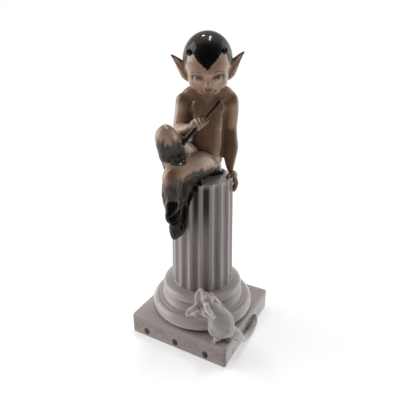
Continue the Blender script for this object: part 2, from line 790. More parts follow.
def head_parts(bm):
    """Ears, horn buds, nose and lips."""
    head = bmesh.new()
    for side in (-1, 1):
        ear = [
            ((side * 11.4, -3.6, -12.6), 2.4, 1.5),
            ((side * 13.4, -1.4, -8.2), 3.8, 2.0),
            ((side * 16.6, 1.0, -3.6), 3.0, 1.6),
            ((side * 19.6, 2.4, -0.4), 1.8, 1.2),
            ((side * 22.6, 3.4, 2.6), 0.7, 0.7),
        ]
        limb(head, ear, across=(side * -0.6, 0.35, 0.8), rows=44)
        horn = [
            ((side * 9.9, -5.8, 7.9), 2.0),
            ((side * 10.7, -7.1, 9.4), 1.5),
            ((side * 11, -8.1, 10.8), 0.8),
        ]
        limb(head, horn, blunt=2, rows=20)
    nose = [((0, -13.2, -3.2), 1.5, 1.4), ((0, -14.7, -6.4), 1.5, 1.4), ((0, -16.2, -8.9), 1.9, 1.7)]
    limb(head, nose, blunt=2)
    for side in (-1, 1):
        ball(head, (side * 1.8, -15.0, -9.2), (1.15, 1.3, 1.05))
        upper_lip = [
            ((side * -0.3, -15.6, -12.0), 0.85),
            ((side * 1.5, -15.3, -12.1), 0.75),
            ((side * 3.2, -14.0, -12.6), 0.4),
        ]
        limb(head, upper_lip, sides=12, rows=14, blunt=2)
    lower_lip = [((-2.4, -14.1, -13.3), 0.5), ((0, -15.1, -13.7), 0.95), ((2.4, -14.1, -13.3), 0.5)]
    limb(head, lower_lip, sides=12, rows=16, blunt=2)
    bmesh.ops.transform(head, matrix=head_place(), verts=head.verts)
    join(bm, head)


def finger(bm, joints, radius):
    """A finger through its joints, a little thicker at each."""
    stations = []
    for i, joint in enumerate(joints):
        stations.append((joint, radius * (1.0 - 0.07 * i)))
    limb(bm, stations, sides=14, rows=20, blunt=2)


KNUCKLES = [(-4.3, -17.6, 42.2), (-2.5, -17.8, 42.8), (-0.6, -17.6, 42.8), (1.1, -17.2, 42.6)]
MIDDLE_JOINTS = [(-2.9, -20.4, 40.2), (-1.3, -20.4, 41.0), (0.5, -20.1, 41.6), (2.1, -19.6, 42.0)]
FINGERTIPS = [(-2.7, -19.8, 36.7), (-1.0, -19.7, 38.1), (0.8, -19.4, 39.5), (2.4, -18.9, 40.7)]


def flute_hand(bm):
    """The right hand: four fingers close round the flute, and the thumb lies behind it."""
    ball(bm, (-4.4, -16.4, 39.3), (3.5, 2.9, 4.8), Matrix.Rotation(radians(45), 4, "Y"))
    for knuckle, middle, tip in zip(KNUCKLES, MIDDLE_JOINTS, FINGERTIPS):
        root = (knuckle[0] - 1.2, knuckle[1] + 1.4, knuckle[2] - 1.0)
        end = (tip[0] - 1.6, tip[1] + 1.6, tip[2] - 0.6)
        finger(bm, [root, knuckle, middle, tip, end], 1.3)
    finger(bm, [(-4.4, -14.6, 40.6), (-1.6, -14.4, 43.0), (1.4, -14.6, 43.6)], 1.4)


def rim_hand(bm):
    """The left hand: its palm on the column's rim, its fingers down the outside of the shaft."""
    rim = SHAFT_TOP_RADIUS
    ball(bm, (rim - 0.2, -0.6, 0.6), (3.5, 4.6, 2.8), Matrix.Rotation(radians(35), 4, "Y"))
    ball(bm, (rim + 1.0, -1.2, -2.6), (1.7, 4.3, 3.4))
    for i in range(4):
        y = -4.4 + 2.3 * i
        reach = (-10.4, -11.8, -12.0, -11.0)[i]
        joints = [(rim + 0.3, y + 0.2, 0.6), (rim + 2.0, y - 0.4, -3.4), (rim + 1.5, y - 0.8, -7.4)]
        finger(bm, joints + [(rim + 0.2, y - 1.0, reach)], 1.35)
    finger(bm, [(rim - 2.2, -2.4, 1.8), (rim - 3.8, -5.0, 0.9), (rim - 4.6, -7.8, 0.7)], 1.55)


def carve_face(clay):
    """A calm child's face of plain proportions, its eyes lowered under full lids."""
    head = head_place()
    front = (0, -1, 0)

    def both(line, width, height, facing=front):
        for side in (-1, 1):
            clay.ridge(mirrored(line, side), width, height, head, facing)

    both([(3.6, -13.4, -4.2), (6.0, -13.0, -3.9), (7.8, -12.2, -4.2)], 2.1, -0.95)
    both([(2.6, -14.0, -1.4), (6.0, -13.6, -0.6), (9.6, -11.0, -1.8)], 2.1, 0.3)
    clay.settle()
    both([(5.0, -13.2, -4.9), (6.8, -12.8, -4.9)], 1.7, 1.05)
    clay.settle()
    both([(3.4, -13.5, -5.4), (4.8, -13.4, -6.3), (6.4, -13.0, -6.5), (8.8, -11.4, -5.2)], 0.5, -0.32)
    both([(3.5, -13.5, -3.6), (5.9, -13.2, -2.7), (8.9, -11.6, -3.7)], 0.6, -0.22)
    both([(3.8, -13.5, -7.0), (6.0, -13.2, -7.6), (8.2, -12.0, -6.8)], 0.7, 0.14)
    both([(0.95, -16.6, -10.2)] * 2, 0.55, -0.55, (0, -0.5, -1))
    both([(2.9, -14.6, -8.6), (3.1, -14.3, -9.8)], 0.5, -0.3)
    both([(3.6, -13.8, -12.5)] * 2, 0.8, -0.4)
    mouth = [(-3.4, -14.2, -12.7), (-1.6, -15.4, -12.7), (0, -15.8, -12.95), (1.6, -15.4, -12.7)]
    clay.ridge(mouth + [(3.4, -14.2, -12.7)], 0.34, -0.5, head, front)
    clay.ridge([(0, -15.6, -10.4), (0, -15.4, -11.5)], 0.6, -0.28, head, front)
    clay.ridge([(-1.6, -14.4, -14.9), (1.6, -14.4, -14.9)], 0.9, -0.45, head, front)
    clay.settle()


def carve_ears(clay):
    """Long hollows on the front of the pointed ears."""
    head = head_place()
    for side in (-1, 1):
        hollow = [(13.0, -2.9, -9.0), (16.0, -0.5, -4.6), (19.0, 1.4, -1.2), (20.8, 2.2, 0.8)]
        hollow = mirrored(hollow, side)
        clay.ridge(hollow, 1.25, -1.3, head, (side * 0.35, -1, 0.1))
        clay.settle()
        clay.ridge(hollow[:3], 0.9, -0.6, head, (side * 0.35, -1, 0.1))
    clay.settle()


def hairline(local):
    """How far a point of the head is inside the cap of hair, in about millimetres. `local` is in the
    head's frame: a peak in the middle of the forehead, bays over the temples, down behind the ears."""
    x, y, z = np.abs(local[:, 0]), local[:, 1], local[:, 2]
    front = (z - 1.6 - 0.84 * np.minimum(x, 10.2) + 4.0 * np.clip(x - 10.6, 0, 9)) * 0.75
    back = z + 6.5 + 0.55 * np.clip(y - 2, 0, 12) - 1.44 * np.clip(-2 - y, 0, 8) - 0.14 * x
    rear = blend(y, -6.5, -1.0)
    return front * (1 - rear) + back * rear


def to_frame(points, place):
    """The points as seen in a frame."""
    return (points - np.array(place.translation)) @ np.array(place.to_3x3())


def off_the_ears(local):
    """1 on the skull itself, 0 on the ears."""
    return 1 - blend(np.abs(local[:, 0]) - 0.12 * np.clip(-local[:, 2], 0, 20), 14.6, 15.8)


def hair_strands(local):
    """Short hair combed forward from the crown, as a pattern from -1 to 1."""
    angle = np.arctan2(local[:, 0], local[:, 1] - 6.0)
    height = local[:, 2]
    sweep = angle + 0.10 * np.sin(height * 0.35) + 0.05 * cloud(local, 4.0, 9)
    broad = np.sin(sweep * 34 + 1.6 * cloud(local, 5.0, 2))
    fine = cloud(np.stack([sweep * 26, height * 0.12, height * 0], 1), 1.0, 4)
    return broad * 0.6 + fine * 0.8


def carve_hair(clay):
    """Lifts the cap of hair a little off the skin, and combs it but for its smooth top."""
    local = to_frame(clay.at, head_place())
    near = np.linalg.norm(local, axis=1) < HEAD_REACH
    cap = np.zeros(len(local))
    head = local[near]
    cap[near] = blend(hairline(head), -0.5, 0.7) * off_the_ears(head) * (head[:, 2] > -14)
    strands = np.zeros(len(local))
    strands[near] = hair_strands(head)
    smooth_top = blend(local[:, 2] + 0.3 * local[:, 1], 2, 7)
    clay.shift += clay.out * (cap * (0.3 + 0.13 * strands * (1 - smooth_top)))[:, None]
    clay.settle()


def carve_body(clay):
    """Collar bones, breastbone, navel, spine, shoulder blades, elbows and the lines between limbs."""
    back = (0, 1, 0)
    front = (0, -1, 0)
    clay.ridge([(2.6, 12, 12), (2.6, 10, 26), (3.0, 11, 40), (3.3, 9, 54)], 2.2, -1.0, None, back)

    def both(line, width, height, facing=None):
        for side in (-1, 1):
            clay.ridge([(BODY_MIDDLE + side * x, y, z) for x, y, z in line], width, height, None, facing)

    both([(3.4, 11, 50), (5.4, 11, 42), (9, 9, 39)], 1.3, 0.55, back)
    both([(3.0, 12, 12), (3.4, 10, 18)], 1.2, -0.35, back)
    both([(2.0, -7, 53.4), (6.5, -5, 54.2), (11, -1, 56)], 0.9, 0.25)
    both([(2.5, -9, 42.6), (6.5, -8.5, 41.4), (10, -5, 43.4)], 1.2, -0.4, front)
    both([(5.9, -8.6, 45.4)] * 2, 0.55, 0.3, front)
    clay.ridge([(3, -8.5, 52), (2.9, -9.5, 44), (2.6, -9.5, 36), (2.2, -10, 29)], 1.2, -0.45, None, front)
    clay.ridge([(2.0, -9.8, 23.6), (2.0, -9.8, 22.6)], 0.9, -1.1, None, front)
    clay.ridge([(10.5, -5.5, 31), (11.5, -5.0, 25), (11.2, -5.5, 19)], 1.4, 0.5)
    clay.ridge([(-9.2, -3.2, 50), (-8.4, -4.2, 44), (-8.2, -4.0, 38)], 1.3, -0.4)
    clay.ridge([(14.2, -1.5, 50), (13.6, -1.6, 44), (13.4, -1.0, 38)], 1.3, -0.4)
    clay.ridge([(22.5, 3, 24), (22.9, 3, 21)], 1.2, 0.3)
    clay.settle()


def carve_finger_gaps(clay):
    """The gaps between the fingers of both hands."""
    for i in range(3):
        gap = []
        for row in (KNUCKLES, MIDDLE_JOINTS, FINGERTIPS):
            spot = (Vector(row[i]) + Vector(row[i + 1])) / 2
            gap.append(tuple(spot + (spot - Vector((-2.6, -17.4, 40.4))).normalized()))
        clay.ridge(gap, 0.4, -0.5)
    rim = SHAFT_TOP_RADIUS
    for i in range(3):
        y = -3.25 + 2.3 * i
        clay.ridge([(rim + 2.6, y, -1.5), (rim + 3.2, y - 0.4, -5), (rim + 1.6, y - 0.8, -10)], 0.34, -0.42)
    clay.settle()


# Browner and lighter strokes on the body: how much browner, along what line, how far, how soft
BODY_STROKES = [
    (-0.75, [(-16.0, -4.5, 46), (-18.0, -5, 38)], 4.0, 8),
    (-0.75, [(-15, -7, 36), (-8, -14, 39)], 4.0, 5),
    (-0.35, [(-3, -19, 40)], 4.5, 4),
    (-0.45, [(SHAFT_TOP_RADIUS + 1.5, -2, 1), (SHAFT_TOP_RADIUS + 1.5, -3, -8)], 3.5, 4),
    (-0.6, [(20.5, -2, 46), (21.0, -2.5, 40), (20.5, -2.5, 35)], 3.0, 8),
    (-0.2, [(2, -6, 58), (16, 0, 57), (-10, 0, 57)], 3.0, 5),
    (-0.25, [(10.5, -6, 34), (11.4, -6, 22), (6, -8, 14)], 2.5, 5),
    (0.35, [(18, 0, 27), (18.5, 0, 12)], 5.0, 6),
    (-0.25, [(3, -8, 50), (-1, -9, 44)], 4.0, 7),
]


def paint_upper(mesh):
    """Underglaze colours of the skin, hair, ears and face."""
    at = points_of(mesh)
    local = to_frame(at, head_place())
    near = np.linalg.norm(local, axis=1) < HEAD_REACH
    inside = np.full(len(at), -9.0)
    inside[near] = hairline(local[near])
    skull = off_the_ears(local) * near * (local[:, 2] > -13)
    ragged = inside + 0.9 * cloud(local * near[:, None], 1.4, 31) * near
    cap = blend(ragged, -1.2, 1.6) * skull
    faded = blend(inside, -2.0, 2.8) * skull
    strands = np.zeros(len(at))
    strands[near & (cap > 0)] = hair_strands(local[near & (cap > 0)])
    x, y, z = local.T
    front = blend(-y, 1.0, 5.0) * blend(14.4 - z - 0.035 * x**2, -2.2, 2.6)
    soot = front * cap * blend(13.4 - np.abs(x), 0, 2.4) * (1.0 + 0.12 * strands)
    horns = dab_both(local, [(10.4, -6.8, 9.0), (11, -8.1, 10.8)], 2.1, 1.8) * near
    upper_edge = [(14.6, 0.8, -3.6), (18.2, 2.8, 1.0), (22.8, 3.8, 3.0)]
    ear_edge = dab_both(local, upper_edge, 1.5, 1.8) * (np.abs(x) > 14.2)
    ear_edge += 0.3 * dab_both(local, [(13.2, -2.2, -8.6), (15.8, -0.2, -4.8)], 0.8, 1.8) * (np.abs(x) > 13)
    ears = near * (1 - off_the_ears(local)) * (z > -14)
    face = near & (y < -6) & (cap < 0.5)
    brow = [(3.0, -14.4, -0.9), (6.0, -13.8, 0.0), (9.4, -11.4, -1.0)]
    brows = dab_both(local, curve(brow), 0.45, 0.7)
    lash = [(3.3, -13.5, -5.3), (4.8, -13.4, -6.25), (6.4, -13.0, -6.45), (8.9, -11.4, -5.1)]
    lashes = dab_both(local, curve(lash), 0.3, 0.5)
    lids = dab_both(local, [(4.0, -13.2, -3.2), (8.6, -12.0, -3.6)], 1.9, 3.0)
    lips = dab(local, [(-2.6, -14.8, -12.8), (2.6, -14.8, -12.8)], 1.0, 1.2)
    cheeks = dab_both(local, [(8.0, -11.4, -9.0)], 2.5, 5.0)
    forehead = dab(local, [(-7, -12, 2.5), (0, -14, 3), (7, -12, 2.5)], 4.0, 6.0)
    head_brown = 0.34 + 0.26 * forehead * face + 0.6 * lids * face + 0.5 * brows * face + 0.7 * ear_edge
    body_brown = strokes(at, 0.84, BODY_STROKES)
    head_brown -= 0.32 * ears * (1 - ear_edge)
    neck = blend(at[:, 2], 55, 65) * near
    paint(mesh, "brown", (body_brown * (1 - neck) + head_brown * neck) * (1 - 0.2 * cap))
    paint(mesh, "fur", faded)
    paint(mesh, "dry", 0.4 * faded)
    paint(mesh, "streak", 0.16 + 0.16 * strands + 0.12 * blend(inside, 5.0, 0.0))
    ear_tips = ear_edge * blend(np.abs(x), 17, 22)
    paint(mesh, "soot", np.maximum.reduce([soot, horns * 0.9, 0.45 * lashes * face, 0.4 * ear_tips]))
    paint(mesh, "blush", 0.6 * lips * face + 0.35 * cheeks * face)


def make_upper(finish):
    """Everything of the faun above the waist, but for the flute."""
    rough = bmesh.new()
    torso(rough)
    bent_arm(rough)
    straight_arm(rough)
    head_masses(rough)
    fine = bmesh.new()
    head_parts(fine)
    flute_hand(fine)
    rim_hand(fine)
    fine.from_mesh(one_skin(rough, ROUGH_GRAIN, 12))
    clay = Clay(one_skin(fine, FINE_GRAIN, 4))
    carve_face(clay)
    carve_ears(clay)
    carve_hair(clay)
    carve_body(clay)
    carve_finger_gaps(clay)
    mesh = thinned(clay.mesh)
    paint_upper(mesh)
    add_piece("faun_body", mesh, figure_place(), finish)


# Figure, lower part: haunches, legs, fur and hooves

RAISED_THIGH = [
    ((-3.5, 1.0, 7.5), 9.3),
    ((-11.0, -8.5, 17.5), 8.4),
    ((-18.5, -17, 26.5), 7.8),
    ((-23.0, -22.5, 33.0), 6.4),
]
RAISED_SHANK = [
    ((-22.6, -21.2, 40.6), 6.2),
    ((-22.6, -21.4, 33.5), 8.1),
    ((-21.6, -19.2, 22), 6.6),
    ((-19.6, -16.8, 10), 5.6),
    ((-22.0, -16.4, -4), 5.2),
    ((-21.4, -17.6, -16), 4.9),
    ((-17.9, -19.8, -31), 4.7),
]
CROSSED_THIGH = [
    ((7.5, 3.0, 8.2), 9.2),
    ((-1.5, -11.6, 11.8), 8.8),
    ((-11, -22.0, 12), 7.8),
    ((-19.2, -28.4, 9.6), 6.8),
    ((-21.6, -30.5, 8), 5.6),
]
CROSSED_SHANK = [
    ((-19.0, -27.6, 13), 5.6),
    ((-19.2, -28.2, 8), 6.6),
    ((-19.4, -26.8, -2), 5.7),
    ((-19.6, -25.6, -12), 4.8),
]


def haunches(bm):
    """Both legs, the seat between them, and the fur's bulk beside the shaft."""
    limb(bm, RAISED_THIGH, blunt=2)
    limb(bm, RAISED_SHANK, blunt=2, rows=50)
    limb(bm, CROSSED_THIGH, blunt=2, rows=40)
    limb(bm, CROSSED_SHANK, blunt=2)
    ball(bm, (1, 5.4, 4.6), (12.4, 9.0, 8.4))
    ball(bm, (6.6, 0.5, 12.0), (6.8, 8.6, 7.0))
    ball(bm, (0.5, 6.6, 0.6), (16.0, 9.0, 3.0))
    ball(bm, (-3.0, -5.0, 2.8), (7.0, 5.5, 5.0))
    ball(bm, (-10.0, -12.0, 1.0), (9.4, 10.0, 7.5))
    ball(bm, (-14.0, -16.5, -3.0), (8.0, 8.0, 10.5))
    ball(bm, (-16.0, -17.5, -15.0), (5.5, 5.5, 9.5))
    ball(bm, (-15.0, -17.0, 17.0), (7.5, 6.5, 7.0))
    ball(bm, (-20.4, -21.4, -21.5), (5.0, 4.2, 6.5))
    ball(bm, (-15.5, -18.8, -23.0), (4.0, 3.0, 5.0))


UPPER_HOOF = [
    ((-19.4, -25.2, -4.0), 4.4, 4.0),
    ((-19.2, -26.8, -9.0), 5.2, 4.6),
    ((-20.2, -28.0, -13.2), 4.6, 4.0),
    ((-22.0, -29.2, -16.6), 2.7, 2.6),
    ((-24.0, -30.2, -19.0), 1.0, 1.2),
]
LOWER_HOOF = [
    ((-17.4, -19.0, -23.0), 3.6, 3.6),
    ((-17.2, -19.8, -28.0), 5.6, 4.4),
    ((-17.4, -20.6, -31.4), 5.9, 4.6),
    ((-18.6, -21.4, -34.6), 4.6, 3.8),
    ((-20.2, -22.4, -39.0), 2.4, 2.2),
]


def hooves(bm):
    """Two pointed hooves, hanging toe down."""
    limb(bm, UPPER_HOOF, blunt=2)
    limb(bm, LOWER_HOOF, blunt=2)


def bones():
    """The lines that the coat follows, each with how thick its limb is: hip to hoof, twice, and the
    haunches, whose hair hangs."""
    raised = [Vector(s[0]) for s in RAISED_THIGH[:3] + RAISED_SHANK[2:]]
    crossed = [Vector(s[0]) for s in CROSSED_THIGH[:4] + CROSSED_SHANK[2:]]
    seat = [Vector((0.5, 3.5, 16)), Vector((0.5, 3.5, -6))]
    return [(raised, 7.0), (crossed, 7.5), (seat, 13.0)]


def coat_flow(points):
    """For each point: how far along its bone it is, its turn round the bone, and the bone's direction."""
    best = np.full(len(points), np.inf)
    along = np.zeros(len(points))
    turn = np.zeros(len(points))
    flow = np.zeros((len(points), 3))
    for line, thick in bones():
        spots = np.array([smooth_line(line, i / 40) for i in range(41)])
        run = 0.0
        for a, b in zip(spots, spots[1:]):
            way = b - a
            length = np.linalg.norm(way)
            way /= length
            share = np.clip((points - a) @ way, 0, length)
            off = points - a - share[:, None] * way
            gap = np.linalg.norm(off, axis=1) / thick
            closer = gap < best
            first = np.cross(way, (0.3, 0.9, 0.2))
            first /= np.linalg.norm(first)
            second = np.cross(way, first)
            best[closer] = gap[closer]
            along[closer] = run + share[closer]
            turn[closer] = np.arctan2(off[closer] @ second, off[closer] @ first)
            flow[closer] = way
            run += length
    return along, turn, flow


def fur_cover(points):
    """Where the coat grows, from 0 on bare skin to 1: the undersides of the thighs, the shanks below the
    knees and round the haunches."""
    x, y, z = points[:, 0], points[:, 1], points[:, 2]
    ragged = 1.1 * cloud(points * (1, 1, 0.4), 2.2, 6)
    edge_at = [-23, -16, -8, -2, 5, 10, 15, 20]
    edge_height = [4.5, 6.6, 11.4, 11.8, 10.4, 7.8, 5.2, 3.6]
    soft = blend(-x, 10, 16) * 6.0
    across_lap = blend((np.interp(x, edge_at, edge_height) - z + ragged * 1.8) / (4.5 + soft), -1.1, 0.9)
    raised = blend(30.5 - z + ragged * 3, -8.0, 7.0)
    is_raised = blend(-x - 0.25 * (z - 12), 7.0, 10.5) * blend(z, 15.0, 18.0)
    seat = blend(3.0 + 9.0 * blend(y, 7, 12) - z + ragged * 1.2, -2.0, 2.0)
    lap = blend(-y, 1, 6)
    cover = seat * (1 - lap) + across_lap * lap
    behind_knee = blend(y, -23, -20.5) * blend(-x, 10, 14)
    cover = np.maximum(cover, behind_knee * raised)
    patch = dab(points, [(-9.0, -17, 24), (-9.5, -17, 21.5)], 1.6, 2.5)
    return cover * (1 - is_raised) + raised * is_raised * (1 - 0.9 * patch)


def strand_pattern(points, along, turn):
    """Fine strands along the coat, from -1 to 1."""
    sway = turn + 0.16 * cloud(points, 6.0, 12)
    fine = np.stack([np.cos(sway) * 9.0, np.sin(sway) * 9.0, along * 0.16], axis=1)
    broad = np.stack([np.cos(sway) * 4.2, np.sin(sway) * 4.2, along * 0.10 + 9], axis=1)
    return 1.1 * cloud(fine, 1.0, 1) + 0.9 * cloud(broad, 1.0, 7)


LOCK_GAP = 3


def add_locks(bm, skin):
    """Tufts laid over the coat, each a tapered lock that starts in the skin and lifts at its tip."""
    shape = bmesh.new()
    shape.from_mesh(skin)
    tree = BVHTree.FromBMesh(shape)
    at = points_of(skin)
    cover = fur_cover(at)
    flow = coat_flow(at)[2]
    draw = random.Random(5)
    hoof_at = Vector(UPPER_HOOF[2][0])
    taken = []
    order = list(range(len(at)))
    draw.shuffle(order)
    for i in order:
        spot = Vector(at[i])
        in_coat = (spot - hoof_at).length >= 9 and spot.x <= 12 and cover[i] >= 0.6 and spot.z >= -15
        if not in_coat or any((spot - t).length_squared < LOCK_GAP**2 for t in taken):
            continue
        taken.append(spot)
        stray = Vector([draw.uniform(-0.12, 0.12) for _ in range(3)])
        way = Vector(flow[i]) + Vector((0, 0, -0.35)) + stray
        length = draw.uniform(7.0, 11.0)
        radius = draw.uniform(0.5, 0.8)
        stations = []
        for k in range(5):
            found, out, _, _ = tree.find_nearest(spot)
            ahead = (way - out * way.dot(out)).normalized()
            stations.append((found + out * (-0.5 + 0.1 * k), radius * (0.7, 1.0, 0.95, 0.65, 0.25)[k]))
            spot = found + ahead * (length / 4)
        limb(bm, stations, across=tuple(ahead.cross(out)), sides=8, rows=10, blunt=2)
    shape.free()


# Locks that hang free of the coat, each with its root, its tip and its radius
KNEE_LOCKS = [
    ((-18.0, -23.0, 20.0), (-16.0, -26.0, 13.5), 2.4),
    ((-14.5, -21.5, 20.0), (-12.0, -24.6, 14.5), 2.4),
    ((-10.5, -18.5, 21.0), (-8.0, -21.6, 15.6), 2.2),
]
DARK_LOCKS = [
    ((-2.4, -17.0, 3.0), (-1.0, -21.0, -1.0), 2.1),
    ((-5.4, -18.5, 1.0), (-3.8, -21.4, -4.6), 2.4),
    ((-8.6, -19.0, -2.0), (-7.8, -21.6, -11.0), 2.7),
    ((-9.6, -19.0, -9.0), (-9.2, -20.6, -15.0), 1.6),
    ((-12.4, -19.4, -8.0), (-11.4, -20.8, -27.0), 2.7),
    ((-14.6, -18.4, -13.0), (-13.8, -19.6, -27.0), 2.8),
]


def hanging_locks(bm):
    for root, tip, radius in KNEE_LOCKS + DARK_LOCKS:
        root, tip = Vector(root), Vector(tip)
        lock = [(root, radius), ((root * 2 + tip) / 3, radius * 0.95), (tip, radius * 0.3)]
        limb(bm, lock, sides=12, rows=16, blunt=2)


LEG_STROKES = [
    (0.6, [(-18.6, -34, 12.0), (-18.0, -34, 3.0)], 4.0, 9.0),
    (0.30, [(8, -6, 14), (0, -9, 17)], 3.0, 6),
    (0.6, [(-6, -4, 22), (-12, -11, 28)], 5.0, 4),
    (0.5, [(-10, -14, 20), (-14, -19, 21)], 4.0, 5),
    (0.12, [(-24, -27, 35)], 6, 8),
]


def paint_legs(mesh):
    """Underglaze colours of the legs: skin brown on the thighs, grey coat, black hooves and lock tips."""
    at = points_of(mesh)
    along, turn, _ = coat_flow(at)
    cover = fur_cover(at)
    strands = strand_pattern(at, along, turn)
    _, y, z = at.T
    front = blend(-y, 18.5, 21.5)
    upper_hoof = dab(at, [(-20.0, -27, -10.0), (-22.0, -29, -15.4)], 6.6, 1.4)
    upper_hoof = upper_hoof * blend(-6.6 - z, -1, 1) * front
    rim_line = [(-23.6, -30.0, -20.0), (-18.4, -29.4, -17.6), (-14.8, -27.8, -12.0), (-14.6, -26.6, -8.0)]
    rim = dab(at, rim_line, 0.6, 0.7)
    lower_hoof = 0.42 * blend(-28.0 - z, -2.5, 2.5)
    spot = dab(at, [(-13.6, -23.0, -29.0), (-12.8, -22.6, -30.6)], 2.0, 1.8)
    between = dab(at, [(-18.6, -24, -18.5), (-20.2, -24.0, -23.5)], 4.0, 2.0)
    tips = np.zeros(len(at))
    for root, tip, radius in DARK_LOCKS:
        start = tuple(Vector(root).lerp(Vector(tip), 0.35))
        tips = np.maximum(tips, dab(at, [start, tip], radius * 0.95, 1.6))
    knee_shade = dab(at, [(-25.5, -24.5, 22.0), (-23.5, -24.5, 15.5)], 2.0, 5.0)
    paint(mesh, "brown", strokes(at, 0.24, LEG_STROKES) + 0.3 * cloud(at, 9, 3))
    paint(mesh, "fur", cover)
    paint(mesh, "dry", 0.75 * cover * (1 - upper_hoof) * (1 - lower_hoof))
    lit_side = dab(at, [(-31, -24, 31), (-30.5, -24, 18)], 3.0, 4.0)
    paint(mesh, "streak", 0.38 + 0.26 * strands + 0.45 * lit_side)
    knee_shade = 0.40 * knee_shade * cover
    soot = np.maximum.reduce([upper_hoof, lower_hoof, spot, between, tips * 0.95, knee_shade])
    paint(mesh, "soot", soot * (1 - 0.9 * rim))


def make_legs(finish):
    """The seat and the legs, in a coat of carved hair that ends at the hooves."""
    rough = bmesh.new()
    haunches(rough)
    skin = one_skin(rough, ROUGH_GRAIN, 10)
    fine = bmesh.new()
    add_locks(fine, skin)
    hanging_locks(fine)
    hooves(fine)
    fine.from_mesh(skin)
    clay = Clay(one_skin(fine, FINE_GRAIN, 3))
    along, turn, _ = coat_flow(clay.at)
    cover = fur_cover(clay.at)
    below_coat = blend(-clay.at[:, 2], 26, 28)
    depth = 0.13 * cover * (1 - below_coat) * strand_pattern(clay.at, along, turn)
    clay.shift += clay.out * depth[:, None]
    clay.settle()
    clay.ridge([(-19.0, -34, 16), (-22, -36, 11), (-20, -35, 6)], 1.4, 0.3)
    clay.ridge([(-14.5, -31, 14), (-15, -32, 7)], 1.4, -0.4)
    clay.settle()
    mesh = thinned(clay.mesh)
    paint_legs(mesh)
    add_piece("faun_legs", mesh, figure_place(), finish)


def make_flute(finish):
    """The pipe, a little flared at its foot, with a ring near each end and finger holes."""
    foot, head = Vector((-13.2, -20.6, 27.6)), Vector((10.7, -13.4, 53.0))
    length = (head - foot).length
    flared_foot = [(0.0, 0.0), (1.25, 0.0), (1.75, 0.15), (2.05, 0.9), (1.85, 1.6), (1.65, 3.0)]
    lower_ring = [(1.8, 3.3), (1.8, 4.0), (1.6, 4.3)]
    taper = [(1.45, 12), (1.15, 18), (1.0, length - 3.6)]
    upper_ring = [(1.3, length - 3.3), (1.3, length - 2.6), (1.08, length - 2.3)]
    mouthpiece = [(0.85, length - 0.3), (0.6, length), (0.0, length)]
    bm = bmesh.new()
    lathe(bm, flared_foot + lower_ring + taper + upper_ring + mouthpiece, 40)
    turn = (head - foot).to_track_quat("Z", "Y").to_matrix().to_4x4()
    mesh = with_modifiers(mesh_of(bm, "flute"), [("SUBSURF", {"levels": 2, "render_levels": 2})])
    clay = Clay(mesh)
    for i in range(5):
        z = length - 7.5 - 2.3 * i
        clay.ridge([(1.2, 0, z)] * 2, 0.55, -0.5)
    clay.settle()
    add_piece("flute", mesh, figure_place() @ Matrix.Translation(foot) @ turn, finish)


# Lizard. Its places and radii are millimetres from a point on the plinth's top near the corner

LIZARD_BREADTH = (0.87, 0.49, 0)
UPPER_GAPE = (1, 0.1, 0)
LOWER_GAPE = (0.2, -0.35, -0.9)
NEAR_ARM = [
    ((-10.0, -6.0, 28.0), 2.1),
    ((-9.2, -8.0, 29.4), 2.0),
    ((-6.7, -9.0, 26.8), 1.8),
    ((-3.4, -8.8, 23.2), 1.6),
]
FAR_ARM = [
    ((-9.0, -0.2, 28.0), 2.1),
    ((-8.8, 1.4, 29.6), 1.9),
    ((-6.4, 2.9, 26.6), 1.7),
    ((-3.7, 3.6, 23.4), 1.6),
]


